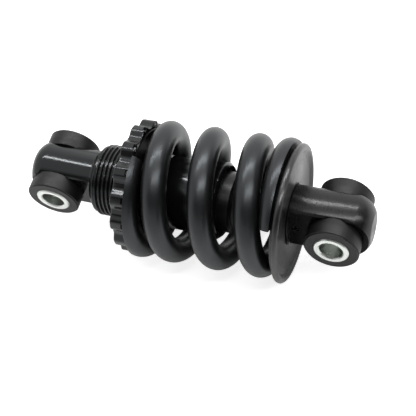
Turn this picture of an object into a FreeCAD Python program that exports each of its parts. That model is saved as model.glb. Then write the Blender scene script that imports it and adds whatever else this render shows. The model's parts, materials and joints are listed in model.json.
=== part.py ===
import FreeCAD, Part
import math
import os

import Sketcher

# Coil-over rear shock, 100 mm between the eyes.
# Origin: centre of the body eye's bore. +X runs along the shock to the shaft eye,
# +Y along the body eye's bore, +Z up. Millimetres.

DIMENSIONS = {
    # eyes
    "eye_to_eye": 100.0,        # between the two bore centres, damper fully extended
    "eye_twist": -7.6,          # the shaft eye has turned this far about the shock's axis, degrees
    "eye_bore_r": 7.5,          # cross bore that takes the bushes
    "seat_r": 9.4,              # counterbore around a bush head
    "seat_depth": 0.6,
    "body_bar_r": 10.0,
    "body_flat": 6.5,           # half width over the milled flats
    "body_end": 10.0,           # from the bore centre to the end face
    "body_round": 5.6,
    "shaft_bar_r": 10.55,
    "shaft_flat": 6.0,
    "shaft_end": 11.5,
    "shaft_round": 5.35,
    "shaft_dome_r": 9.0,        # flatter than a quarter circle, so it leaves the bar at an edge
    "sleeve_r": 6.0,
    "sleeve_bore_r": 4.0,
    "sleeve_half": 12.2,
    "sleeve_bevel": 0.35,
    "bush_half": 11.85,
    "bush_head_r": 9.3,
    "bush_edge": 0.45,
    # damper tube
    "neck_start": 13.6,
    "thread_start": 16.2,
    "thread_end": 40.0,
    "thread_r": 12.5,
    "thread_pitch": 1.5,
    "thread_depth": 0.85,
    "tube_r": 12.6,
    "tube_end": 58.4,           # inner face, with the snap ring behind it
    "rim_left": 56.2,           # stouter rim around the tube's open end
    "rim_right": 60.6,
    "rim_r": 13.3,
    "rim_bore_r": 12.0,
    "tube_bore_r": 9.5,
    "tube_floor": 17.0,
    # preload nut and spring seat
    "nut_left": 27.0,
    "nut_right": 31.9,
    "nut_r": 23.1,
    "tooth_depth": 1.6,
    "tooth_count": 15,
    "seat_left": 30.9,
    "seat_washer_r": 20.6,
    "seat_washer_bore_r": 13.0,
    # spring
    "spring_left": 32.2,
    "spring_right": 81.85,      # on the retainer's raised pad
    "wire_r": 4.3,
    "coil_r": 19.9,
    "coil_pitch": 15.87,
    "start_pitch": 7.7,         # of the closed coil on the seat washer
    "end_pitch": 7.4,           # of the closed coil on the retainer
    # spring retainer
    "retainer_left": 82.8,
    "retainer_pad_bore_r": 15.0,
    "retainer_pad_r": 21.4,
    "retainer_r": 23.85,
    "retainer_floor": 84.2,
    "retainer_right": 85.1,
    "retainer_bore_r": 7.56,
    "retainer_rim_r": 1.14,
    "grub_offset": 2.2,         # lock screw, from the eye's shoulder
    "grub_r": 1.25,
    # shaft and what is on it
    "shaft_r": 5.0,
    "shaft_stud_r": 4.0,
    "piston_stud_r": 3.0,
    "shaft_left": 37.6,
    "piston_left": 42.0,
    "piston_right": 48.0,
    "piston_r": 9.2,
    "band_r": 9.46,
    # seal head and floating piston
    "head_left": 50.5,
    "head_right": 57.1,
    "nose_r": 6.7,
    "nose_right": 62.5,
    "stop_r": 10.4,
    "stop_left": 59.0,
    "stop_right": 67.4,
    "float_left": 22.3,
    "float_right": 26.8,
    # gaps
    "running_gap": 0.04,
}

TIP_ANGLE = -355.0              # where the wire starts, degrees about +X from +Z towards -Y
END_ANGLE = 1128.0              # where the wire ends
START_KNEE = -55.0              # where the first closed coil's pitch turns into coil_pitch
END_KNEE = 808.0                # where coil_pitch turns into the last closed coil's pitch
HALF_KNEE = 30.0                # half the angle that each change of pitch takes
ACTIVE_X = 39.86                # wire centre at angle 0
LEAN = 0.029                    # the spring leans towards +Y by this much of its length
LEAN_FROM = 43.1                # x where its axis crosses the shock's
TIP = 0.018                     # its coils tip towards -X by this much of their height

doc = FreeCAD.newDocument("RearShock")
sheet = doc.addObject("Spreadsheet::Sheet", "Sizes")


class Size:
    """A length with its number and the spreadsheet expression that it comes from."""

    def __init__(self, number, text):
        self.number = number
        self.text = text

    def join(self, other, sign, number):
        return Size(number, "(%s %s %s)" % (self.text, sign, other.text))

    def __add__(self, other):
        other = as_size(other)
        return self.join(other, "+", self.number + other.number)

    def __sub__(self, other):
        other = as_size(other)
        return self.join(other, "-", self.number - other.number)

    def __rsub__(self, other):
        return as_size(other) - self

    def __mul__(self, other):
        other = as_size(other)
        return self.join(other, "*", self.number * other.number)

    def __neg__(self):
        return Size(-self.number, "(0 - %s)" % self.text)


def as_size(value):
    return value if isinstance(value, Size) else Size(float(value), repr(float(value)))


def fill_sheet():
    sizes = {}
    for row, (name, number) in enumerate(DIMENSIONS.items(), start=1):
        sheet.set("A%d" % row, name)
        sheet.set("B%d" % row, str(number))
        sheet.setAlias("B%d" % row, name)
        sizes[name] = Size(float(number), "Sizes.%s" % name)
    doc.recompute()
    return sizes


S = fill_sheet()


def new_body(label):
    body = doc.addObject("PartDesign::Body", label)
    body.Label = label
    return body


def new_sketch(body, role, name):
    """An empty sketch on one of the body's origin planes."""
    sketch = body.newObject("Sketcher::SketchObject", name)
    plane = [f for f in body.Origin.OriginFeatures if f.Role == role][0]
    sketch.AttachmentSupport = [(plane, "")]
    sketch.MapMode = "FlatFace"
    return sketch


def arc_through(start, end, radius, side):
    """Arc from start to end; side is +1 to bulge left of the way it runs, -1 to bulge right."""
    chord = end - start
    left = FreeCAD.Vector(-chord.y, chord.x, 0)
    left.normalize()
    half = chord.Length / 2
    rise = radius - math.sqrt(max(radius * radius - half * half, 0.0))
    return Part.Arc(start, start + chord * 0.5 + left * (side * rise), end)


def draw_outline(sketch, points, arcs=None):
    """Closed outline of (x, y) sizes; arcs maps an edge's number to (radius, side)."""
    arcs = arcs or {}
    pairs = [(as_size(x), as_size(y)) for x, y in points]
    corners = [FreeCAD.Vector(x.number, y.number, 0) for x, y in pairs]
    first = sketch.GeometryCount
    count = len(corners)
    for i in range(count):
        start, end = corners[i], corners[(i + 1) % count]
        if i in arcs:
            radius, side = arcs[i]
            sketch.addGeometry(arc_through(start, end, as_size(radius).number, side))
        else:
            sketch.addGeometry(Part.LineSegment(start, end))
    ends = [edge_ends(sketch, first + i, corners[i]) for i in range(count)]
    for i in range(count):
        after = (i + 1) % count
        sketch.addConstraint(
            Sketcher.Constraint("Coincident", first + i, ends[i][1], first + after, ends[after][0]))
    for i, (x, y) in enumerate(pairs):
        for kind, size in (("DistanceX", x), ("DistanceY", y)):
            number = sketch.addConstraint(
                Sketcher.Constraint(kind, -1, 1, first + i, ends[i][0], size.number))
            sketch.setExpression("Constraints[%d]" % number, size.text)
    for i, (radius, side) in arcs.items():
        size = as_size(radius)
        number = sketch.addConstraint(Sketcher.Constraint("Radius", first + i, size.number))
        sketch.setExpression("Constraints[%d]" % number, size.text)


def edge_ends(sketch, index, start):
    """Which ends of a sketch edge are its first and second, in the way that the outline runs."""
    here = sketch.getPoint(index, 1)
    return (1, 2) if (here - start).Length < 1e-6 else (2, 1)


def draw_circle(sketch, x, y, radius):
    x, y, radius = as_size(x), as_size(y), as_size(radius)
    centre = FreeCAD.Vector(x.number, y.number, 0)
    index = sketch.addGeometry(Part.Circle(centre, FreeCAD.Vector(0, 0, 1), radius.number))
    for kind, size in (("DistanceX", x), ("DistanceY", y)):
        number = sketch.addConstraint(Sketcher.Constraint(kind, -1, 1, index, 3, size.number))
        sketch.setExpression("Constraints[%d]" % number, size.text)
    number = sketch.addConstraint(Sketcher.Constraint("Radius", index, radius.number))
    sketch.setExpression("Constraints[%d]" % number, radius.text)


def revolve(body, sketch, name, axis="H_Axis"):
    feature = body.newObject("PartDesign::Revolution", name)
    feature.Profile = sketch
    feature.ReferenceAxis = (sketch, [axis])
    feature.Angle = 360
    return feature


def turned(label, points, arcs=None):
    """A body turned about the shock's axis from its outline of (along, radius) sizes."""
    body = new_body(label)
    sketch = new_sketch(body, "XY_Plane", label + "_outline")
    draw_outline(sketch, points, arcs)
    revolve(body, sketch, label + "_turned")
    doc.recompute()
    return body


def ring(label, left, right, inner, outer, bevel=0.0):
    """A turned ring with a small bevel on its outer edges."""
    left, right, inner, outer = (as_size(v) for v in (left, right, inner, outer))
    if not bevel:
        return turned(label, [(left, inner), (right, inner), (right, outer), (left, outer)])
    return turned(label, [(left, inner), (right, inner), (right, outer - bevel), (right - bevel, outer),
                          (left + bevel, outer), (left, outer - bevel)])


def must_shrink(body, before):
    doc.recompute()
    if not body.Shape.Volume < before - 1e-3:
        raise RuntimeError("%s: a cut removed nothing" % body.Label)


def groove(body, name, points, axis="V_Axis", role="XY_Plane"):
    """Cut a revolved outline out of the body."""
    before = body.Shape.Volume
    sketch = new_sketch(body, role, name + "_outline")
    draw_outline(sketch, points)
    feature = body.newObject("PartDesign::Groove", name)
    feature.Profile = sketch
    feature.ReferenceAxis = (sketch, [axis])
    feature.Angle = 360
    must_shrink(body, before)
    return feature


def pocket_through(body, name, role, draw):
    """Cut what draw() puts on the sketch through the whole body, both ways from its plane."""
    before = body.Shape.Volume
    sketch = new_sketch(body, role, name + "_outline")
    draw(sketch)
    feature = body.newObject("PartDesign::Pocket", name)
    feature.Profile = sketch
    feature.Type = "ThroughAll"
    feature.Midplane = True
    must_shrink(body, before)
    return feature


def polar(body, feature, name, count, axis_role="X_Axis"):
    """Repeat a cut evenly about the shock's axis."""
    before = body.Shape.Volume
    axis = [f for f in body.Origin.OriginFeatures if f.Role == axis_role][0]
    pattern = body.newObject("PartDesign::PolarPattern", name)
    pattern.Originals = [feature]
    pattern.Axis = (axis, [""])
    pattern.Angle = 360
    pattern.Occurrences = int(as_size(count).number)
    pattern.setExpression("Occurrences", as_size(count).text)
    body.Tip = pattern
    must_shrink(body, before)
    return pattern


def box_outline(left, right, low, high):
    return [(left, low), (right, low), (right, high), (left, high)]


def cut_eye(body, flat, run_out, far_end):
    """Mill both flats and bore the eye at the body's own origin, along Y."""
    bar_edge = S["nut_r"]

    def draw_flats(sketch):
        draw_outline(sketch, box_outline(far_end, run_out, flat, bar_edge))
        draw_outline(sketch, box_outline(far_end, run_out, -bar_edge, -flat))

    pocket_through(body, body.Label + "_flats", "XY_Plane", draw_flats)
    floor = flat - S["seat_depth"]
    groove(body, body.Label + "_bore", [
        (0, -bar_edge), (S["seat_r"], -bar_edge), (S["seat_r"], -floor), (S["eye_bore_r"], -floor),
        (S["eye_bore_r"], floor), (S["seat_r"], floor), (S["seat_r"], bar_edge), (0, bar_edge)])


def eye_placement():
    """Where the shaft eye's own frame lies: at the far bore centre, turned about the shock's axis."""
    turn = FreeCAD.Rotation(FreeCAD.Vector(1, 0, 0), S["eye_twist"].number)
    return FreeCAD.Placement(FreeCAD.Vector(S["eye_to_eye"].number, 0, 0), turn)


def to_shaft_eye(body):
    body.Placement = eye_placement()
    body.setExpression("Placement.Base.x", S["eye_to_eye"].text)
    return body


# ---------------------------------------------------------------- damper tube and body eye

def damper_tube():
    thread_r, bar_r, end = S["thread_r"], S["body_bar_r"], S["body_end"]
    rounding, bore, rim_r = S["body_round"], S["tube_bore_r"], S["rim_r"]
    start, stop, rim_left, rim_right = (S["thread_start"], S["thread_end"], S["rim_left"],
                                        S["rim_right"])
    groove_left = S["head_right"] + 0.1
    outline = [
        (-end, 0), (-end, bar_r - rounding), (rounding - end, bar_r), (S["neck_start"], bar_r),
        (start - 0.9, thread_r - 0.8), (start, thread_r - 0.7), (start + 0.6, thread_r),
        (stop - 0.6, thread_r), (stop + 0.4, S["tube_r"]),
        (rim_left, S["tube_r"]), (rim_left + 0.7, rim_r), (rim_right - 1.1, rim_r),
        (rim_right, rim_r - 1.0), (rim_right, S["rim_bore_r"]), (S["tube_end"], S["rim_bore_r"]),
        (S["tube_end"], bore), (groove_left + 0.9, bore), (groove_left + 0.9, bore + 0.8),
        (groove_left, bore + 0.8), (groove_left, bore),
        (S["tube_floor"] + 1.2, bore), (S["tube_floor"], bore - 1.2), (S["tube_floor"], 0)]
    body = turned("damper_tube", outline, {1: (rounding, 1), 3: (4.2, -1)})
    cut_eye(body, S["body_flat"], S["neck_start"] + 0.4, -end - 3.0)
    cut_thread(body)
    return body


def cut_thread(body):
    """The tube's right-hand outside thread: a V groove run along a helix."""
    before = body.Shape.Volume
    pitch, depth, outer = S["thread_pitch"], S["thread_depth"], S["thread_r"]
    sketch = new_sketch(body, "XY_Plane", "thread_outline")
    start = S["thread_start"] - 0.6
    mouth = pitch * 0.36
    draw_outline(sketch, [
        (start - mouth - 0.1, outer + 0.2), (start - 0.12, outer - depth),
        (start + 0.12, outer - depth), (start + mouth + 0.1, outer + 0.2)])
    helix = body.newObject("PartDesign::SubtractiveHelix", "thread")
    helix.Profile = sketch
    helix.ReferenceAxis = (sketch, ["H_Axis"])
    helix.Mode = "pitch-height-angle"
    helix.setExpression("Pitch", pitch.text)
    helix.setExpression("Height", (S["thread_end"] - S["thread_start"] + 0.6).text)
    must_shrink(body, before)


# ---------------------------------------------------------------- bushes and sleeves

def bush(label, flat, side, at_shaft_eye=False):
    """Rubber bush half: a head outside the eye and a spigot in its bore. side is -1 near, +1 far."""
    body = new_body(label)
    sketch = new_sketch(body, "XY_Plane", label + "_outline")
    inner = S["sleeve_r"] + S["running_gap"]
    root = flat - S["seat_depth"]
    spigot_r = S["eye_bore_r"]
    head_r, edge, end = S["bush_head_r"], S["bush_edge"], S["bush_half"]
    points = [(inner, 0.3), (spigot_r - 0.4, 0.3), (spigot_r, 0.7), (spigot_r, root),
              (head_r - 0.25, root), (head_r, root + 2.6), (head_r, end - edge), (head_r - edge, end),
              (inner + 0.15, end), (inner, end - 0.15)]
    if side < 0:
        points = [(x, -as_size(y)) for x, y in reversed(points)]
        arcs = {2: (edge, -1)}
    else:
        arcs = {6: (edge, -1)}
    draw_outline(sketch, points, {i: (r, -s) for i, (r, s) in arcs.items()})
    revolve(body, sketch, label + "_turned", "V_Axis")
    doc.recompute()
    return to_shaft_eye(body) if at_shaft_eye else body


def sleeve(label, at_shaft_eye=False):
    """Steel sleeve that the mounting bolt goes through."""
    body = new_body(label)
    sketch = new_sketch(body, "XY_Plane", label + "_outline")
    inner, outer, half, bevel = S["sleeve_bore_r"], S["sleeve_r"], S["sleeve_half"], S["sleeve_bevel"]
    draw_outline(sketch, [
        (inner, -half + bevel), (inner + bevel, -half), (outer - bevel, -half), (outer, -half + bevel),
        (outer, half - bevel), (outer - bevel, half), (inner + bevel, half), (inner, half - bevel)])
    revolve(body, sketch, label + "_turned", "V_Axis")
    doc.recompute()
    return to_shaft_eye(body) if at_shaft_eye else body


# ---------------------------------------------------------------- preload nut and spring seat

def preload_nut():
    left, right, outer = S["nut_left"], S["nut_right"], S["nut_r"]
    bore = S["thread_r"] + 0.06
    seat_r = S["seat_washer_r"] + 0.3
    body = turned("preload_nut", [
        (left, bore + 0.5), (left, 17.0), (left + 1.0, 17.6), (left + 1.0, 20.2), (left, 20.8),
        (left, outer - 0.5), (left + 0.5, outer), (right - 0.4, outer), (right, outer - 0.4),
        (right, seat_r), (S["seat_left"], seat_r), (S["seat_left"], bore + 0.5),
        (S["seat_left"] - 0.5, bore), (left + 0.5, bore)])
    tooth_gap(body)
    spanner_notch(body)
    return body


def tooth_gap(body):
    """One gap between two teeth, repeated around the rim."""
    outer, depth = S["nut_r"], S["tooth_depth"]
    before = body.Shape.Volume
    sketch = new_sketch(body, "YZ_Plane", "tooth_gap_outline")
    draw_outline(sketch, [(-2.35, outer + 0.6), (-1.55, outer - depth), (1.55, outer - depth),
                          (2.35, outer + 0.6)])
    feature = body.newObject("PartDesign::Pocket", "tooth_gap")
    feature.Profile = sketch
    feature.Type = "ThroughAll"
    feature.Midplane = True
    must_shrink(body, before)
    polar(body, feature, "tooth_gaps", S["tooth_count"])


def spanner_notch(body):
    """A small notch in the spring side of each tooth; the tooth count is odd, so -Z meets a tooth."""
    outer, right = S["nut_r"], S["nut_right"]
    before = body.Shape.Volume
    sketch = new_sketch(body, "XZ_Plane", "spanner_notch_outline")
    draw_outline(sketch, box_outline(right - 0.75, right + 1.0, -outer - 1.0, 1.0 - outer))
    feature = body.newObject("PartDesign::Pocket", "spanner_notch")
    feature.Profile = sketch
    feature.Type = "Length"
    feature.Length = 2.0
    feature.Midplane = True
    must_shrink(body, before)
    polar(body, feature, "spanner_notches", S["tooth_count"])


def turn_about_axis(body, degrees):
    body.Placement = FreeCAD.Placement(FreeCAD.Vector(0, 0, 0),
                                       FreeCAD.Rotation(FreeCAD.Vector(1, 0, 0), degrees))


# ---------------------------------------------------------------- coil spring

def past_knee(angle):
    """How far the wire is past a change of pitch that is spread over twice HALF_KNEE."""
    if angle < -HALF_KNEE:
        return 0.0
    if angle > HALF_KNEE:
        return angle
    return (angle + HALF_KNEE) ** 2 / (4 * HALF_KNEE)


def wire_centre(angle):
    """Centre of the wire at an angle about +X, counted from +Z towards -Y."""
    pitch, radius = S["coil_pitch"].number, S["coil_r"].number
    start_loss = (pitch - S["start_pitch"].number) / 360
    end_loss = (pitch - S["end_pitch"].number) / 360
    x = ACTIVE_X + pitch * angle / 360
    x += start_loss * past_knee(START_KNEE - angle) - end_loss * past_knee(angle - END_KNEE)
    turn = math.radians(angle)
    lean = LEAN * (x - LEAN_FROM)
    x -= TIP * radius * math.cos(turn)
    return FreeCAD.Vector(x, lean - radius * math.sin(turn), radius * math.cos(turn))


def coil_spring():
    """Round wire run along the coil's centre line, then ground flat at both ends."""
    step = 15.0
    count = round((END_ANGLE - TIP_ANGLE) / step)
    angles = [TIP_ANGLE + (END_ANGLE - TIP_ANGLE) * i / count for i in range(count + 1)]
    path = Part.BSplineCurve()
    path.interpolate([wire_centre(a) for a in angles])
    start = wire_centre(TIP_ANGLE)
    along = path.tangent(path.FirstParameter)[0]
    section = Part.Wire(Part.Circle(start, along, S["wire_r"].number).toShape())
    sweep = Part.BRepOffsetAPI.MakePipeShell(Part.Wire(path.toShape()))
    sweep.setFrenetMode(True)
    sweep.add(section)
    sweep.build()
    sweep.makeSolid()
    wire = sweep.shape()
    left, right = S["spring_left"].number, S["spring_right"].number
    reach = 60.0
    ground = Part.makeBox(right - left, reach, reach, FreeCAD.Vector(left, -reach / 2, -reach / 2))
    feature = doc.addObject("Part::Feature", "coil_spring")
    feature.Label = "coil_spring"
    feature.Shape = wire.common(ground)
    return feature


# ---------------------------------------------------------------- spring retainer

def spring_retainer():
    left, floor, right = S["retainer_left"], S["retainer_floor"], S["retainer_right"]
    pad, pad_bore, pad_r = S["spring_right"], S["retainer_pad_bore_r"], S["retainer_pad_r"]
    outer, bore, rim = S["retainer_r"], S["retainer_bore_r"], S["retainer_rim_r"]
    return turned("spring_retainer", [
        (left, bore + 0.3), (left, pad_bore), (pad, pad_bore), (pad, pad_r), (left, pad_r),
        (left, outer - rim), (left + rim, outer), (right - rim, outer),
        (right, outer - rim), (right, outer - rim - 0.8), (floor, outer - rim - 1.9),
        (floor, bore), (left + 0.3, bore)],
        {5: (rim, 1), 7: (rim, 1)})


# ---------------------------------------------------------------- shaft side

def shaft_eye():
    """Bar with the eye at its own origin; its spigot centres the retainer, its hole takes the shaft."""
    away = S["eye_to_eye"]
    shoulder = S["retainer_floor"] + 0.04 - away
    spigot = S["retainer_left"] + 0.1 - away
    bar_r, end, rounding = S["shaft_bar_r"], S["shaft_end"], S["shaft_round"]
    hole_r, hole_end = S["shaft_stud_r"], shoulder + 6.4
    body = turned("shaft_eye", [
        (spigot, hole_r + 0.3), (spigot, 7.2), (spigot + 0.3, 7.5), (shoulder, 7.5),
        (shoulder, bar_r - 0.25), (shoulder + 0.25, bar_r), (end - rounding, bar_r),
        (end, bar_r - rounding), (end, 0), (hole_end + 0.8, 0), (hole_end, hole_r),
        (spigot + 0.3, hole_r)], {6: (S["shaft_dome_r"], 1)})
    cut_eye(body, S["shaft_flat"], S["shaft_end"] + 3.0, shoulder + 0.7)
    grub_hole(body, shoulder)
    return to_shaft_eye(body)


def grub_hole(body, shoulder):
    """Hole for the screw that locks the shaft, from the near flat down to the shaft."""
    before = body.Shape.Volume
    sketch = new_sketch(body, "XZ_Plane", "grub_hole_outline")
    draw_circle(sketch, shoulder + S["grub_offset"], 0, S["grub_r"])
    feature = body.newObject("PartDesign::Pocket", "grub_hole")
    feature.Profile = sketch
    feature.Type = "Length"
    feature.Length = 9.0
    feature.Reversed = True
    must_shrink(body, before)


def grub_screw():
    """Hex socket set screw in the shaft eye, its flat end on the shaft."""
    shoulder = S["retainer_floor"] + 0.04 - S["eye_to_eye"]
    body = new_body("lock_screw")
    sketch = new_sketch(body, "XY_Plane", "lock_screw_outline")
    centre = shoulder + S["grub_offset"]
    outer, inner = -S["shaft_flat"] + 0.35, -S["shaft_stud_r"] - 0.02
    side, bevel = centre + S["grub_r"] - S["running_gap"], 0.25
    draw_outline(sketch, [(centre, outer), (centre, inner), (side - bevel, inner),
                          (side, inner - bevel), (side, outer + bevel), (side - bevel, outer)])
    feature = body.newObject("PartDesign::Revolution", "lock_screw_turned")
    feature.Profile = sketch
    feature.ReferenceAxis = (sketch, ["Edge1"])
    feature.Angle = 360
    doc.recompute()
    hex_socket(body, centre)
    return to_shaft_eye(body)


def hexagon(x, y, across_flats):
    """Corner sizes of a hexagon about (x, y)."""
    corner = across_flats / math.sqrt(3)
    return [(as_size(x) + corner * math.cos(math.radians(60 * k)),
             as_size(y) + corner * math.sin(math.radians(60 * k))) for k in range(6)]


def hex_socket(body, centre):
    before = body.Shape.Volume
    sketch = new_sketch(body, "XZ_Plane", "lock_screw_socket")
    draw_outline(sketch, hexagon(centre, 0, 1.3))
    sketch.AttachmentOffset = FreeCAD.Placement(
        FreeCAD.Vector(0, 0, S["shaft_flat"].number - 1.35), FreeCAD.Rotation())
    feature = body.newObject("PartDesign::Pocket", "lock_screw_hex")
    feature.Profile = sketch
    feature.Type = "Length"
    feature.Length = 3.0
    feature.Reversed = True
    must_shrink(body, before)


def damper_shaft():
    left, right = S["shaft_left"], S["retainer_left"] + 0.1
    piston_left, piston_right = S["piston_left"] - 0.6, S["piston_right"] + 0.6
    stud, thread, radius = S["piston_stud_r"], S["shaft_stud_r"], S["shaft_r"]
    return turned("damper_shaft", [
        (left, 0), (left, stud - 0.4), (left + 0.4, stud), (piston_right, stud),
        (piston_right, radius - 0.3), (piston_right + 0.3, radius), (right - 0.3, radius),
        (right, radius - 0.3), (right, thread), (right + 7.4, thread), (right + 7.8, thread - 0.4),
        (right + 7.8, 0)])


def piston():
    left, right, stud = S["piston_left"], S["piston_right"], S["piston_stud_r"]
    radius, band = S["piston_r"], S["band_r"] - 0.8
    body = turned("piston", [
        (left, stud), (left, radius - 0.3), (left + 0.3, radius), (left + 1.2, radius),
        (left + 1.2, band), (right - 1.2, band), (right - 1.2, radius), (right - 0.3, radius),
        (right, radius - 0.3), (right, stud)])
    before = body.Shape.Volume
    sketch = new_sketch(body, "YZ_Plane", "oil_port_outline")
    draw_circle(sketch, 0, 6.3, 0.9)
    feature = body.newObject("PartDesign::Pocket", "oil_port")
    feature.Profile = sketch
    feature.Type = "ThroughAll"
    feature.Midplane = True
    must_shrink(body, before)
    polar(body, feature, "oil_ports", 6)
    return body


def piston_nut():
    """Hexagon nut that clamps the piston on its stud."""
    left, right = S["shaft_left"] + 0.6, S["piston_left"] - 0.6
    body = new_body("piston_nut")
    sketch = new_sketch(body, "YZ_Plane", "piston_nut_outline")
    draw_outline(sketch, hexagon(0, 0, 10.0))
    draw_circle(sketch, 0, 0, S["piston_stud_r"])
    feature = body.newObject("PartDesign::Pad", "piston_nut_pad")
    feature.Profile = sketch
    feature.Length = (right - left).number
    feature.setExpression("Length", (right - left).text)
    doc.recompute()
    body.Placement = FreeCAD.Placement(FreeCAD.Vector(left.number, 0, 0), FreeCAD.Rotation())
    body.setExpression("Placement.Base.x", left.text)
    return body


# ---------------------------------------------------------------- seal head and its pieces

def seal_head():
    left, right, nose_r, nose = S["head_left"], S["head_right"], S["nose_r"], S["nose_right"]
    bore, shaft = S["tube_bore_r"], S["shaft_r"]
    return turned("seal_head", [
        (left, shaft + 0.35), (left, bore - 0.5), (left + 0.4, bore - 0.05),
        (left + 2.0, bore - 0.05), (left + 2.0, bore - 1.7), (left + 4.0, bore - 1.7),
        (left + 4.0, bore - 0.05), (right, bore - 0.05), (right, nose_r + 0.2), (stop_face(), nose_r),
        (nose - 0.4, nose_r), (nose, nose_r - 0.4), (nose, shaft + 1.15), (nose - 1.8, shaft + 1.15),
        (nose - 1.8, shaft + 0.8), (left + 5.0, shaft + 0.8), (left + 5.0, shaft + 0.35),
        (left + 4.0, shaft + 0.35), (left + 4.0, shaft + 2.1), (left + 1.2, shaft + 2.1),
        (left + 1.2, shaft + 0.35)])


def stop_face():
    return S["stop_left"]


def guide_bush():
    left, right, shaft = S["head_left"] + 5.05, S["nose_right"] - 1.85, S["shaft_r"]
    return ring("guide_bush", left, right, shaft + S["running_gap"], shaft + 0.78)


def rod_seal():
    left, shaft = S["head_left"] + 1.3, S["shaft_r"]
    return turned("rod_seal", [
        (left, shaft + 0.5), (left + 0.5, shaft + 0.06), (left + 2.6, shaft + 0.06),
        (left + 2.6, shaft + 2.05), (left, shaft + 2.05), (left, shaft + 1.5),
        (left + 1.2, shaft + 1.3), (left + 1.2, shaft + 0.75)])


def rod_wiper():
    right, shaft = S["nose_right"], S["shaft_r"]
    return turned("rod_wiper", [
        (right - 1.75, shaft + 0.3), (right - 0.2, shaft + 0.3), (right + 0.5, shaft + 0.06),
        (right + 0.8, shaft + 0.2), (right + 0.1, shaft + 1.1), (right - 1.75, shaft + 1.1)])


def retaining_ring():
    """Snap ring in the tube's groove; the gap between its ears lets it be squeezed."""
    left, bore = S["head_right"] + 0.12, S["tube_bore_r"]
    body = ring("retaining_ring", left, left + 0.84, bore - 1.5, bore + 0.7)
    before = body.Shape.Volume
    sketch = new_sketch(body, "YZ_Plane", "ring_gap_outline")
    draw_outline(sketch, box_outline(-2.2, 2.2, -bore - 1.5, 0))
    feature = body.newObject("PartDesign::Pocket", "ring_gap")
    feature.Profile = sketch
    feature.Type = "ThroughAll"
    feature.Midplane = True
    must_shrink(body, before)
    return body


def o_ring(label, centre, centre_r, section_r):
    centre, centre_r = as_size(centre), as_size(centre_r)
    torus = doc.addObject("Part::Torus", label)
    torus.Label = label
    torus.Radius2 = section_r
    torus.setExpression("Radius1", centre_r.text)
    torus.Placement = FreeCAD.Placement(FreeCAD.Vector(centre.number, 0, 0),
                                        FreeCAD.Rotation(FreeCAD.Vector(0, 1, 0), 90))
    torus.setExpression("Placement.Base.x", centre.text)
    return torus


def bump_stop():
    """Rubber stop with a waist, pushed onto the seal head's nose."""
    left, right, outer = S["stop_left"], S["stop_right"], S["stop_r"]
    nose_r, nose, shaft = S["nose_r"], S["nose_right"], S["shaft_r"]
    return turned("bump_stop", [
        (left, nose_r), (nose + 1.1, nose_r), (nose + 1.1, shaft + 0.5), (right, shaft + 0.5),
        (right, outer - 1.3), (right - 1.0, outer - 0.3), (right - 1.9, outer - 0.3),
        (right - 2.6, outer - 0.9), (right - 3.4, outer), (left + 0.6, outer), (left, outer - 0.6)])


def floating_piston():
    left, right, radius = S["float_left"], S["float_right"], S["piston_r"]
    middle = (left + right) * 0.5
    return turned("floating_piston", [
        (left, 0), (left, radius - 0.3), (left + 0.3, radius), (middle - 0.95, radius),
        (middle - 0.95, radius - 1.5), (middle + 0.95, radius - 1.5), (middle + 0.95, radius),
        (right - 0.3, radius), (right, radius - 0.3), (right, radius - 3.0),
        (middle, radius - 3.4), (middle, 0)])


# ---------------------------------------------------------------- all the pieces

def build_all():
    pieces = [damper_tube()]
    pieces.append(bush("body_bush_near", S["body_flat"], -1))
    pieces.append(bush("body_bush_far", S["body_flat"], 1))
    pieces.append(sleeve("body_eye_sleeve"))
    nut = preload_nut()
    turn_about_axis(nut, 8.0)
    pieces.append(nut)
    pieces.append(ring("spring_seat_washer", S["seat_left"], S["spring_left"],
                       S["seat_washer_bore_r"], S["seat_washer_r"], 0.2))
    pieces.append(coil_spring())
    pieces.append(spring_retainer())
    pieces.append(shaft_eye())
    pieces.append(bush("shaft_bush_near", S["shaft_flat"], -1, True))
    pieces.append(bush("shaft_bush_far", S["shaft_flat"], 1, True))
    pieces.append(sleeve("shaft_eye_sleeve", True))
    pieces.append(grub_screw())
    pieces.append(damper_shaft())
    pieces.append(piston())
    pieces.append(ring("piston_band", S["piston_left"] + 1.25, S["piston_right"] - 1.25,
                       S["band_r"] - 0.78, S["band_r"]))
    pieces.append(ring("compression_shims", S["piston_left"] - 0.6, S["piston_left"],
                       S["piston_stud_r"], 7.8))
    pieces.append(ring("rebound_shims", S["piston_right"], S["piston_right"] + 0.6,
                       S["piston_stud_r"], 7.8))
    pieces.append(piston_nut())
    pieces.append(seal_head())
    pieces.append(guide_bush())
    pieces.append(rod_seal())
    pieces.append(rod_wiper())
    pieces.append(retaining_ring())
    pieces.append(o_ring("seal_head_o_ring", S["head_left"] + 3.0, S["tube_bore_r"] - 0.87, 0.82))
    pieces.append(bump_stop())
    pieces.append(ring("top_out_ring", S["piston_right"] + 0.7, S["head_left"],
                       S["shaft_r"] + 0.5, 8.2, 0.3))
    pieces.append(floating_piston())
    middle = (S["float_left"] + S["float_right"]) * 0.5
    pieces.append(o_ring("floating_piston_o_ring", middle, S["tube_bore_r"] - 0.04 - 0.84, 0.84))
    return pieces


def check_and_write(pieces):
    doc.recompute()
    for thing in doc.Objects:
        if "Invalid" in thing.State or "Error" in thing.State:
            raise RuntimeError("%s failed: %s" % (thing.Label, thing.State))
    for piece in pieces:
        shape = piece.Shape
        if shape.isNull() or not shape.isValid() or shape.Volume <= 0:
            raise RuntimeError("%s has no sound shape" % piece.Label)
    os.makedirs("parts", exist_ok=True)
    for piece in pieces:
        piece.Shape.exportStep(os.path.join("parts", piece.Label + ".step"))
        print("%-24s %8.1f mm3  solids %d" % (piece.Label, piece.Shape.Volume, len(piece.Shape.Solids)))


check_and_write(build_all())
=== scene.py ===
import json
import math

import bmesh
import bpy
import numpy as np
from mathutils import Matrix, Vector


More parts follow.
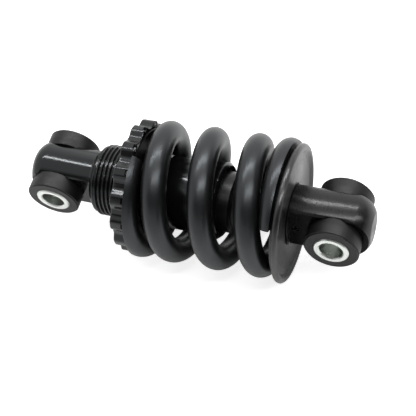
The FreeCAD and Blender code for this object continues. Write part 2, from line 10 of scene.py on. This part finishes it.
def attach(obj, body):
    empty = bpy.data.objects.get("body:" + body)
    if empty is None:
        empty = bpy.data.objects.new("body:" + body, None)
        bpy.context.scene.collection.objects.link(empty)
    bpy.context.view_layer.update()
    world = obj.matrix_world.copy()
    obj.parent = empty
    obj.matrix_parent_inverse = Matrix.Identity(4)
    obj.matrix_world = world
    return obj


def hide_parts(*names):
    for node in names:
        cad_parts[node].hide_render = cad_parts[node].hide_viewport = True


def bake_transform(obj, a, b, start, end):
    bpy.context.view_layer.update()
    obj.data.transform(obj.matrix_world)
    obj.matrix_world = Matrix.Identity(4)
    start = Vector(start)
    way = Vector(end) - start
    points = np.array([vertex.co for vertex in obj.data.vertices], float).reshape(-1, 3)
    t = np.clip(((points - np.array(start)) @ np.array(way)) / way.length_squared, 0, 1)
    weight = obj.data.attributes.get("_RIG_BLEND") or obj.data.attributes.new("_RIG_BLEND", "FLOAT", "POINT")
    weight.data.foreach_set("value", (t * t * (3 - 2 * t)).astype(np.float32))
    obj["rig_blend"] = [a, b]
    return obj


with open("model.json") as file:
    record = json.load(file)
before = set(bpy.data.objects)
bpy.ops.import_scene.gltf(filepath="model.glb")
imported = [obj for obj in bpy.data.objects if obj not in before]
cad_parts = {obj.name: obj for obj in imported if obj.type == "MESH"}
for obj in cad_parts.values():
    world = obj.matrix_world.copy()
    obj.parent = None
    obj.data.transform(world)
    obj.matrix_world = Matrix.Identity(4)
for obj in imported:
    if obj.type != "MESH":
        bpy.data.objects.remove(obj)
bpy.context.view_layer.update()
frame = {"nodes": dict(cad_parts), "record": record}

MM = 0.001
WHITE = (1.0, 1.0, 1.0)


# ---------------------------------------------------------------- node helpers

class Nodes:
    """The node tree of a material or world, with short calls for the nodes used here."""

    def __init__(self, owner):
        owner.use_nodes = True
        self.owner = owner
        self.tree = owner.node_tree
        self.tree.nodes.clear()

    def add(self, kind, **settings):
        node = self.tree.nodes.new(kind)
        for key, value in settings.items():
            setattr(node, key, value)
        return node

    def link(self, a, b):
        self.tree.links.new(a, b)

    def feed(self, socket, value):
        """Link a socket to another's value, or set it to a fixed one."""
        if isinstance(value, bpy.types.NodeSocket):
            self.link(value, socket)
        else:
            socket.default_value = value

    def put(self, node, **values):
        for key, value in values.items():
            self.feed(node.inputs[key.replace("_", " ")], value)
        return node

    def place(self):
        """The point in the object's own frame."""
        return self.add("ShaderNodeTexCoord").outputs["Object"]

    def split(self, vector):
        """The X, Y and Z of a vector."""
        parts = self.add("ShaderNodeSeparateXYZ")
        self.link(vector, parts.inputs[0])
        return list(parts.outputs)

    def noise(self, where, scale, detail=3.0, rough=0.5):
        node = self.add("ShaderNodeTexNoise")
        self.put(node, Vector=where, Scale=scale, Detail=detail, Roughness=rough)
        return node.outputs["Fac"]

    def stretch(self, where, scale):
        node = self.put(self.add("ShaderNodeMapping"), Vector=where, Scale=scale)
        return node.outputs["Vector"]

    def math(self, operation, *values):
        node = self.add("ShaderNodeMath", operation=operation)
        for socket, value in zip(node.inputs, values):
            self.feed(socket, value)
        return node.outputs[0]

    def remap(self, value, low, high, new_low=0.0, new_high=1.0, kind="LINEAR"):
        node = self.add("ShaderNodeMapRange", interpolation_type=kind)
        self.put(node, Value=value, From_Min=low, From_Max=high, To_Min=new_low, To_Max=new_high)
        return node.outputs["Result"]

    def mix_value(self, share, a, b):
        node = self.add("ShaderNodeMix")
        for index, value in ((0, share), (2, a), (3, b)):
            self.feed(node.inputs[index], value)
        return node.outputs[0]

    def mix(self, share, a, b):
        node = self.add("ShaderNodeMix", data_type="RGBA")
        for index, value in ((0, share), (6, a), (7, b)):
            self.feed(node.inputs[index], value)
        return node.outputs[2]

    def for_camera(self, others, camera):
        """One shader for what the camera sees, another for light and reflections."""
        node = self.add("ShaderNodeMixShader")
        self.link(self.add("ShaderNodeLightPath").outputs["Is Camera Ray"], node.inputs["Fac"])
        self.link(others, node.inputs[1])
        self.link(camera, node.inputs[2])
        return node.outputs[0]

    def bump(self, height, distance, normal=None):
        node = self.put(self.add("ShaderNodeBump"), Height=height, Distance=distance)
        if normal is not None:
            self.link(normal, node.inputs["Normal"])
        return node.outputs["Normal"]


class Surface(Nodes):
    """A new material with its shader and its output."""

    def __init__(self, name):
        super().__init__(bpy.data.materials.new(name))
        self.shader = self.add("ShaderNodeBsdfPrincipled")
        self.out = self.add("ShaderNodeOutputMaterial")
        self.link(self.shader.outputs["BSDF"], self.out.inputs["Surface"])


def grey(level, tint=WHITE):
    return (level * tint[0], level * tint[1], level * tint[2], 1.0)


# ---------------------------------------------------------------- materials

LINE_LENGTH = 60                    # of a lathe's line, over the spacing between lines
WAVER, WAVER_SCALE = 0.8, 90.0      # how far a facing tool's circles waver, and how often per metre
CLOUD_VALUES = (0.3, 0.7)           # noise values where clouds and flecks go from dark to light
FLECK_VALUES = (0.35, 0.65)
FLECK_SHARE = 0.4                   # of the shade, next to the clouds
BORE_TURN, FLAT_TURN = (0.75, 0.95), (0.9, 0.97)    # squareness where the painted shade of a bore ends and that of a flat starts
CREVICE_SHADE_REACH, CREVICE_SHADE_VALUES = 4.0, (0.25, 0.75)   # painted shade in crevices: its reach in mm, and how open a deep and a shallow one are


def along_lathe(n, where, axis, size):
    """Fine lines around an axis, as a lathe leaves them; size is their spacing in mm."""
    scale = [1000 / (LINE_LENGTH * size)] * 3
    scale[axis] = 1000 / size
    return n.noise(n.stretch(where, scale), 1.0, detail=2.0)


def across_face(n, where, axis, size):
    """Fine circles around an axis on a face square to it, this many mm apart."""
    a, b = [part for k, part in enumerate(n.split(where)) if k != axis]
    radius = n.math("SQRT", n.math("ADD", n.math("MULTIPLY", a, a), n.math("MULTIPLY", b, b)))
    spot = n.add("ShaderNodeCombineXYZ")
    n.put(spot, X=n.math("MULTIPLY", radius, 1000 / size),
          Y=n.math("MULTIPLY", n.noise(where, WAVER_SCALE), WAVER))
    return n.noise(spot.outputs[0], 1.0, detail=2.0)


def pattern(n, where, kind, size):
    """The marks of one kind: grain, or turned or faced around the axis that the kind ends with."""
    if kind == "grain":
        return n.noise(where, 1000 / size, detail=2.0)
    how, axis = kind.split("_")
    return (along_lathe if how == "turned" else across_face)(n, where, "xyz".index(axis), size)


def squareness(n):
    """1 on faces square to the piece's Y, 0 on faces along it."""
    return n.math("ABSOLUTE", n.split(n.add("ShaderNodeTexCoord").outputs["Normal"])[1])


def shades(n, share, level, shade, tint):
    """A colour that goes from this share darker than level to as much lighter."""
    return n.mix(share, grey(level * (1 - shade), tint), grey(level * (1 + shade), tint))


def finish(name, level, rough, marks, metallic=0.0, tint=WHITE, mottle=(5.0, 0.2, 0.04),
           specular=0.5, brushed=None, cast=WHITE, crevice_shade=None, flat_shade=1.0, bore=None):
    """A surface with soft clouds of shade and gloss, and a stack of marks: kind, size, height (mm).

    The last marks also show as flecks. mottle is the size of the clouds in mm, and how far shade and
    gloss vary. brushed is the axis that the brush marks run around and their strength; cast tints
    what the surface reflects. The two shares after cast paint shade on the specular level: the share
    left in the deepest crevices, and, where that one is given, the share left on faces square to Y.
    bore is the share of the shade left on faces along Y, a painted shade as inside a bore.
    """
    n = Surface(name)
    where = n.place()
    size, shade, gloss = mottle
    cloud = n.remap(n.noise(where, 1000 / size, detail=5.0, rough=0.6), *CLOUD_VALUES)
    normal = None
    for kind, spacing, height in marks:
        lines = pattern(n, where, kind, spacing)
        normal = n.bump(lines, height * MM, normal)
    fleck = n.remap(lines, *FLECK_VALUES)
    share = n.math("MULTIPLY_ADD", fleck, FLECK_SHARE, n.math("MULTIPLY", cloud, 1 - FLECK_SHARE))
    colour = shades(n, share, level, shade, tint)
    # painted shade: faces along Y, as inside a bore, get a darker base colour
    if bore is not None:
        bore_shaded = shades(n, share, level * bore, shade, tint)
        colour = n.mix(n.remap(squareness(n), *BORE_TURN), bore_shaded, colour)
    n.put(n.shader, Normal=normal, Metallic=metallic, Specular_IOR_Level=specular,
          Specular_Tint=grey(1.0, cast), Base_Color=colour,
          Roughness=n.remap(share, 0.0, 1.0, rough - gloss, rough + gloss))
    if brushed is not None:
        axis, strength = brushed
        around = n.add("ShaderNodeTangent", direction_type="RADIAL", axis=axis)
        n.put(n.shader, Tangent=around.outputs[0], Anisotropic=strength, Anisotropic_Rotation=0.25)
    # painted shade: an ambient occlusion node lowers the specular level in crevices, and faces square to Y
    # lose more of it
    if crevice_shade is not None:
        openness = n.put(n.add("ShaderNodeAmbientOcclusion", samples=8), Distance=CREVICE_SHADE_REACH * MM)
        crevice_shade_share = n.remap(openness.outputs["AO"], *CREVICE_SHADE_VALUES, crevice_shade, 1.0)
        flat_shade_share = n.remap(squareness(n), *FLAT_TURN, 1.0, flat_shade)
        left = n.math("MULTIPLY", n.math("MULTIPLY", crevice_shade_share, flat_shade_share), specular)
        n.put(n.shader, Specular_IOR_Level=left)
    return n.owner


SURFACES = {
    "black_anodised": dict(
        level=0.003, rough=0.15, marks=[("grain", 0.5, 0.004), ("turned_x", 0.12, 0.0015)],
        specular=0.53, brushed=("X", 0.4), cast=(0.93, 0.97, 1.0)),
    # painted shade in its crevices and on its flats square to Y
    "black_satin": dict(
        level=0.004, rough=0.3, marks=[("grain", 0.35, 0.003), ("turned_x", 0.15, 0.003)],
        mottle=(2.0, 0.25, 0.06), specular=0.5, brushed=("X", 0.6), crevice_shade=0.1, flat_shade=0.12),
    # painted shade in its crevices, as where the spring meets it
    "retainer_black": dict(
        level=0.004, rough=0.36, marks=[("grain", 0.5, 0.003), ("faced_x", 0.3, 0.004)],
        mottle=(3.0, 0.25, 0.06), specular=0.95, brushed=("X", 0.85), crevice_shade=0.05),
    "spring_black": dict(
        level=0.003, rough=0.33, marks=[("grain", 2.2, 0.008), ("grain", 0.3, 0.0012)],
        mottle=(6.0, 0.3, 0.04), specular=0.68, cast=(0.9, 0.955, 1.0)),
    "nut_plastic": dict(
        level=0.004, rough=0.17, marks=[("grain", 1.2, 0.012), ("grain", 0.25, 0.001)],
        specular=0.58, cast=(0.94, 0.97, 1.0)),
    "washer_steel": dict(level=0.004, rough=0.35, marks=[("turned_x", 0.2, 0.002)], specular=0.15),
    "bush_rubber": dict(
        level=0.004, rough=0.45, marks=[("grain", 0.8, 0.008), ("turned_y", 0.3, 0.003)],
        specular=0.4),
    # painted shade inside the bores
    "sleeve_steel": dict(
        level=0.9, rough=0.3, marks=[("faced_y", 0.25, 0.002), ("turned_y", 0.2, 0.002)],
        metallic=1.0, tint=(0.97, 1.0, 0.96), mottle=(2.0, 0.06, 0.06), bore=0.85),
    "black_steel": dict(level=0.004, rough=0.3, marks=[("grain", 0.3, 0.002)]),
    "chrome_shaft": dict(
        level=0.65, rough=0.1, marks=[("turned_x", 0.1, 0.0004)], metallic=1.0,
        tint=(0.94, 1.0, 1.05)),
    "piston_alloy": dict(level=0.55, rough=0.28, marks=[("turned_x", 0.2, 0.002)], metallic=1.0),
    "band_plastic": dict(level=0.05, rough=0.5, marks=[("grain", 0.4, 0.003)]),
    "shim_steel": dict(level=0.55, rough=0.25, marks=[("faced_x", 0.15, 0.001)], metallic=1.0),
    "zinc_steel": dict(
        level=0.55, rough=0.35, marks=[("grain", 0.5, 0.003)], metallic=1.0,
        tint=(1.04, 1.0, 0.95)),
    "head_alloy": dict(level=0.02, rough=0.34, marks=[("turned_x", 0.2, 0.003)]),
    "guide_bronze": dict(
        level=0.45, rough=0.38, marks=[("grain", 0.2, 0.003)], metallic=1.0,
        tint=(1.2, 0.9, 0.5)),
    "seal_rubber": dict(level=0.012, rough=0.45, marks=[("grain", 0.4, 0.003)]),
    "stop_rubber": dict(
        level=0.003, rough=0.34, marks=[("grain", 1.0, 0.006), ("turned_x", 0.6, 0.004)]),
}
MATERIALS = {name: finish(name, **looks) for name, looks in SURFACES.items()}


# ---------------------------------------------------------------- the CAD's own pieces

SOFT_EDGES = {"damper_tube": 0.12, "shaft_eye": 0.3, "spring_retainer": 0.2}    # widths in mm


def soften(node, width):
    """Round the sharp edges of a piece by this width in mm."""
    weld = node.modifiers.new("weld", "WELD")
    weld.merge_threshold = 1e-6
    bevel = node.modifiers.new("soft_edges", "BEVEL")
    bevel.width = width * MM
    bevel.segments = 2
    bevel.limit_method = "ANGLE"
    bevel.angle_limit = math.radians(32)
    bevel.harden_normals = True


def dress_nodes():
    """Give each CAD node the material of its slot, and soft edges where they show."""
    slots = {piece["node"]: piece["material_slot"] for piece in frame["record"]["subparts"]}
    for name, node in frame["nodes"].items():
        node.data.materials.clear()
        node.data.materials.append(MATERIALS[slots[name]])
    for name, width in SOFT_EDGES.items():
        soften(frame["nodes"][name], width)


# ---------------------------------------------------------------- making pieces

def in_scene(name, data):
    thing = bpy.data.objects.new(name, data)
    bpy.context.scene.collection.objects.link(thing)
    return thing


def loft(built, rows, closed=False):
    """Join rows of points, each a closed loop, by quads; closed also joins the last row to the first."""
    loops = [[built.verts.new(point) for point in row] for row in rows]
    after = loops[1:] + (loops[:1] if closed else [])
    for first, second in zip(loops, after):
        for k in range(len(first)):
            beside = (k + 1) % len(first)
            built.faces.new((first[k], first[beside], second[beside], second[k]))
    return loops


def new_piece(name, built, slot, sharp):
    """A piece from a bmesh, shaded smooth but for the edges over this many degrees."""
    bmesh.ops.recalc_face_normals(built, faces=built.faces[:])
    mesh = bpy.data.meshes.new(name)
    built.to_mesh(mesh)
    built.free()
    mesh.shade_smooth()
    mesh.set_sharp_from_angle(angle=math.radians(sharp))
    mesh.materials.append(MATERIALS[slot])
    return in_scene(name, mesh)


# ---------------------------------------------------------------- coil spring

# Angles in degrees about +X from +Z towards -Y, counted along the wire; lengths in mm, as in the CAD.
TIP_ANGLE, END_ANGLE = -355.0, 1128.0
START_KNEE, END_KNEE, HALF_KNEE = -55.0, 808.0, 30.0
COIL_PITCH, START_PITCH, END_PITCH = 15.87, 7.7, 7.4
ACTIVE_X, COIL_R, WIRE_R = 39.86, 19.9, 4.29
LEAN, LEAN_FROM = 0.029, 43.1       # the spring leans this much towards +Y, from this x on
TIP = 0.018                         # its coils tip towards -X by this much of their height
GROUND_LEFT, GROUND_RIGHT = 32.2, 81.85
GROUND_TOLERANCE = 1e-8             # metres
GIVE_START, GIVE_END, GIVE_EASE = -20.0, 800.0, 90.0     # the stretch of wire that gives under load
WIRE_RINGS, WIRE_SIDES = 617, 56


def past_knee(angle):
    """How far the wire is past a change of pitch that is spread over twice HALF_KNEE."""
    within = (angle + HALF_KNEE) ** 2 / (4 * HALF_KNEE)
    return np.where(angle < -HALF_KNEE, 0.0, np.where(angle > HALF_KNEE, angle, within))


def wire_centre(angle):
    x = ACTIVE_X + COIL_PITCH * angle / 360
    x = x + (COIL_PITCH - START_PITCH) / 360 * past_knee(START_KNEE - angle)
    x = x - (COIL_PITCH - END_PITCH) / 360 * past_knee(angle - END_KNEE)
    turn = np.radians(angle)
    y, z = LEAN * (x - LEAN_FROM) - COIL_R * np.sin(turn), COIL_R * np.cos(turn)
    return np.stack([x - TIP * z, y, z], -1)


def wire_rings(angles):
    """Rings of points around the wire, in metres, one at each angle."""
    centre = wire_centre(angles)
    along = np.gradient(centre, axis=0)
    along /= np.linalg.norm(along, axis=1)[:, None]
    turn = np.radians(angles)
    outward = np.stack([np.zeros(len(angles)), -np.sin(turn), np.cos(turn)], -1)
    across = np.cross(along, outward)
    around = [2 * math.pi * side / WIRE_SIDES for side in range(WIRE_SIDES)]
    return [[Vector(c + WIRE_R * (math.cos(a) * out + math.sin(a) * beside)) * MM for a in around]
            for c, out, beside in zip(centre, outward, across)]


def grind(built, x, way):
    """Cut the spring flat at x, taking off what lies beyond it in X (way 1) or before it (way -1)."""
    cut = bmesh.ops.bisect_plane(built, geom=built.verts[:] + built.edges[:] + built.faces[:],
                                 dist=GROUND_TOLERANCE, plane_co=(x * MM, 0, 0),
                                 plane_no=(way, 0, 0), clear_outer=True)
    edges = [part for part in cut["geom_cut"] if isinstance(part, bmesh.types.BMEdge)]
    bmesh.ops.contextual_create(built, geom=edges)


def give_eased(length):
    """How much a length of wire gives, when it starts to give over GIVE_EASE degrees."""
    return np.where(length < GIVE_EASE, length ** 2 / (2 * GIVE_EASE), length - GIVE_EASE / 2)


def give_share(angle):
    """Share of the stroke that the wire has moved by: 0 on the seat washer, 1 on the retainer."""
    whole = GIVE_END - GIVE_START - GIVE_EASE
    rising = give_eased(np.clip(angle - GIVE_START, 0, None)) / whole
    falling = give_eased(np.clip(GIVE_END - angle, 0, None)) / whole
    middle = (GIVE_START + GIVE_END) / 2
    return np.where(angle < middle, rising, 1 - falling)


def make_spring():
    built = bmesh.new()
    layer = built.verts.layers.float.new("wire_angle")
    angles = np.linspace(TIP_ANGLE, END_ANGLE, WIRE_RINGS)
    loops = loft(built, wire_rings(angles))
    for loop, angle in zip(loops, angles):
        for vertex in loop:
            vertex[layer] = angle
    built.faces.new(list(reversed(loops[0])))
    built.faces.new(loops[-1])
    grind(built, GROUND_LEFT, -1)
    grind(built, GROUND_RIGHT, 1)
    spring = new_piece("spring", built, "spring_black", sharp=35)
    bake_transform(spring, "damper_body", "lower_seat", (GROUND_LEFT * MM, 0, 0), (GROUND_RIGHT * MM, 0, 0))
    stored = spring.data.attributes
    wire_angle = np.zeros(len(spring.data.vertices), np.float32)
    stored["wire_angle"].data.foreach_get("value", wire_angle)
    stored["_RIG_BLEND"].data.foreach_set("value", give_share(wire_angle).astype(np.float32))
    stored.remove(stored["wire_angle"])
    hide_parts("coil_spring")


# ---------------------------------------------------------------- preload nut

# Lengths in mm, as in the CAD; angles in degrees.
NUT_LEFT, NUT_RIGHT, NUT_R = 27.0, 31.9, 23.1
NUT_BORE_R, BORE_CHAMFER = 12.56, 0.5
SEAT_LEFT, SEAT_R = 30.9, 20.9                          # recess for the seat washer
GROOVE_IN, GROOVE_OUT, GROOVE_SLOPE = 17.0, 20.8, 0.6   # radii of the groove in the left face
GROOVE_DEPTH = 1.0
TOOTH_COUNT, TOOTH_DEPTH, FIRST_GAP = 15, 1.6, 8.0      # FIRST_GAP is the middle of a gap
GAP_FLOOR, GAP_TOP = 1.6, 9.6                           # half widths of a gap between teeth
NOTCH_FLOOR, NOTCH_TOP, NOTCH_DEPTH = 1.5, 2.3, 0.9     # the same of the notch in a tooth's middle
NOTCH_START, NOTCH_FULL = 31.05, 31.15                  # x where the notch starts and is full depth
RIM_STEPS = (28.6, 29.8)                                # rings along the teeth
LEFT_EDGE = ((0, 0.6), (0.05, 0.33), (0.16, 0.14), (0.32, 0.03), (0.5, 0))      # x in, radius in
RIGHT_EDGE = ((0.45, 0), (0.27, 0.03), (0.12, 0.12), (0.03, 0.27), (0, 0.5))
TOOTH_COLUMNS = 44


def eased(value, low, high):
    """0 below low and 1 above high, with a soft start and end."""
    share = np.clip((value - low) / (high - low), 0, 1)
    return share * share * (3 - 2 * share)


def nut_outline(crest, notched):
    """Pairs of x and radius, from the bore along the left face, the teeth and the right face."""
    chamfer_r = NUT_BORE_R + BORE_CHAMFER
    groove_x = NUT_LEFT + GROOVE_DEPTH
    outline = [(SEAT_LEFT - BORE_CHAMFER, NUT_BORE_R), (NUT_LEFT + BORE_CHAMFER, NUT_BORE_R),
               (NUT_LEFT, chamfer_r), (NUT_LEFT, GROOVE_IN), (groove_x, GROOVE_IN + GROOVE_SLOPE),
               (groove_x, GROOVE_OUT - GROOVE_SLOPE), (NUT_LEFT, GROOVE_OUT)]
    outline += [(NUT_LEFT + x, crest - inset) for x, inset in LEFT_EDGE]
    outline += [(x, crest) for x in (*RIM_STEPS, NOTCH_START)]
    outline += [(NOTCH_FULL, notched)]
    outline += [(NUT_RIGHT - x, notched - inset) for x, inset in RIGHT_EDGE]
    outline += [(NUT_RIGHT, SEAT_R), (SEAT_LEFT, SEAT_R), (SEAT_LEFT, chamfer_r)]
    return outline


def make_nut():
    """The toothed ring, with the rounded teeth and the small notches of a moulding."""
    columns, pitch = TOOTH_COUNT * TOOTH_COLUMNS, 360 / TOOTH_COUNT
    angle = np.arange(columns) * 360 / columns
    from_gap = np.abs((angle - FIRST_GAP + pitch / 2) % pitch - pitch / 2)
    crest = NUT_R - TOOTH_DEPTH * (1 - eased(from_gap, GAP_FLOOR, GAP_TOP))
    notched = crest - NOTCH_DEPTH * (1 - eased(pitch / 2 - from_gap, NOTCH_FLOOR, NOTCH_TOP))
    turn = np.radians(angle)
    rows = [[(x * MM, -r * math.sin(a) * MM, r * math.cos(a) * MM)
             for r, a in zip(np.broadcast_to(radii, columns), turn)]
            for x, radii in nut_outline(crest, notched)]
    built = bmesh.new()
    loft(built, rows, closed=True)
    nut = new_piece("toothed_nut", built, "nut_plastic", sharp=40)
    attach(nut, "adjuster")
    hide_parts("preload_nut")


# ---------------------------------------------------------------- camera

# Where the camera is from the shock, and its roll, in degrees; its place in metres, its lens in mm.
AZIMUTH, ELEVATION, ROLL = 32.26157, 58.48719, -17.71307
CAMERA_PLACE = (0.16107, -0.17175, 0.32384)
LENS, SENSOR = 96.633, 36.0
CLIP_NEAR, CLIP_FAR = 0.01, 20.0


def facing(right, up, back, place):
    """The world matrix of a camera or a light at this place, with its back in this direction."""
    return Matrix.Translation(place) @ Matrix((right, up, back)).transposed().to_4x4()


def make_camera():
    azimuth, elevation, roll = (math.radians(a) for a in (AZIMUTH, ELEVATION, ROLL))
    back = Vector((math.sin(azimuth) * math.cos(elevation), -math.cos(azimuth) * math.cos(elevation),
                   math.sin(elevation)))
    level = Vector((math.cos(azimuth), math.sin(azimuth), 0))
    right = level * math.cos(roll) + back.cross(level) * math.sin(roll)
    data = bpy.data.cameras.new("camera")
    data.sensor_width = SENSOR
    data.lens = LENS
    data.clip_start, data.clip_end = CLIP_NEAR, CLIP_FAR
    camera = in_scene("camera", data)
    camera.matrix_world = facing(right, back.cross(right), back, CAMERA_PLACE)
    bpy.context.scene.camera = camera


# ---------------------------------------------------------------- floor and light

FLOOR_REACH, FLOOR_Z = 3.0, -0.0245     # metres
FLOOR_SHADE, FLOOR_GLOW = 0.8, 0.75     # as the camera sees it
FLOOR_REFLECTED = 0.85                  # as reflections see it

# The tent around the shock, as reflections see it. It is pale, brighter behind the shock, and dark
# high up in front and far to the right. Each fade is where one level goes over into the next, in
# a direction's X, Y, Z or its part along AWAY_WAY, which is square to the front and points from it.
AWAY_WAY = (-0.39, 0.92)
FRONT_FADE, HIGH_FADE, FRONT_LEVEL = (-0.4, -0.16), (0.25, 0.55), 0.1
BEHIND_FADE, NEAR_LEVEL, BEHIND_LEVEL = (0.3, 0.9), 0.76, 1.05
RIGHT_FADE, RIGHT_LEVEL = (0.45, 0.85), 0.03
HORIZON_FADE, BELOW_LEVEL = (-0.1, 0.1), 0.78

# Strip lights, seen from the shock in one direction and running along another: length and width in
# metres, and watts.
MIDDLE, STRIP_DISTANCE = Vector((0.05, 0, 0)), 0.8
STRIPS = {
    "strip_back": ((-0.1, 0.48, 0.87), (0.92, 0.39, 0), 1.15, 0.05, 4.3),
    "strip_front": ((0.42, -0.08, 0.9), (0.85, 0.38, -0.37), 1.0, 0.07, 3.2),
}


def make_floor():
    mesh = bpy.data.meshes.new("floor")
    corners = [(x * FLOOR_REACH, y * FLOOR_REACH, FLOOR_Z)
               for x, y in ((-1, -1), (1, -1), (1, 1), (-1, 1))]
    mesh.from_pydata(corners, [], [(0, 1, 2, 3)])
    floor = in_scene("floor", mesh)
    n = Surface("floor_pale")
    n.put(n.shader, Base_Color=grey(FLOOR_SHADE), Roughness=0.9, Emission_Color=grey(1.0),
          Emission_Strength=FLOOR_GLOW)
    sheet = n.put(n.add("ShaderNodeBsdfDiffuse"), Color=grey(FLOOR_REFLECTED))
    n.put(n.out, Surface=n.for_camera(sheet.outputs[0], n.shader.outputs[0]))
    mesh.materials.append(n.owner)


def strip_light(name, direction, run, length, width, watts):
    """A softbox seen from the shock in this direction, its long side along run."""
    away = Vector(direction).normalized()
    along = (Vector(run) - away * away.dot(Vector(run))).normalized()
    data = bpy.data.lights.new(name, "AREA")
    data.shape = "RECTANGLE"
    data.size, data.size_y = length, width
    data.energy = watts
    light = in_scene(name, data)
    light.matrix_world = facing(along, away.cross(along), away, MIDDLE + away * STRIP_DISTANCE)


def tent_level(n):
    """How bright the tent is in each direction."""
    x, y, z = n.split(n.add("ShaderNodeTexCoord").outputs["Generated"])
    away = n.math("MULTIPLY_ADD", x, AWAY_WAY[0], n.math("MULTIPLY", y, AWAY_WAY[1]))
    front = n.remap(away, *FRONT_FADE, 1.0, 0.0, "SMOOTHSTEP")
    high = n.remap(z, *HIGH_FADE, kind="SMOOTHSTEP")
    backdrop = n.remap(y, *BEHIND_FADE, NEAR_LEVEL, BEHIND_LEVEL, "SMOOTHSTEP")
    wall = n.remap(n.math("MULTIPLY", front, high), 0.0, 1.0, backdrop, FRONT_LEVEL)
    upper = n.mix_value(n.remap(x, *RIGHT_FADE, kind="SMOOTHSTEP"), wall, RIGHT_LEVEL)
    return n.remap(z, *HORIZON_FADE, BELOW_LEVEL, upper, "SMOOTHSTEP")


def make_light():
    world = bpy.data.worlds.new("studio")
    bpy.context.scene.world = world
    n = Nodes(world)
    seen = n.put(n.add("ShaderNodeBackground"), Color=grey(1.0), Strength=1.0)
    lit = n.put(n.add("ShaderNodeBackground"), Color=grey(1.0), Strength=tent_level(n))
    out = n.add("ShaderNodeOutputWorld")
    n.put(out, Surface=n.for_camera(lit.outputs[0], seen.outputs[0]))
    for name, strip in STRIPS.items():
        strip_light(name, *strip)


dress_nodes()
make_spring()
make_nut()
make_camera()
make_floor()
make_light()
bpy.context.scene.view_settings.view_transform = "Standard"
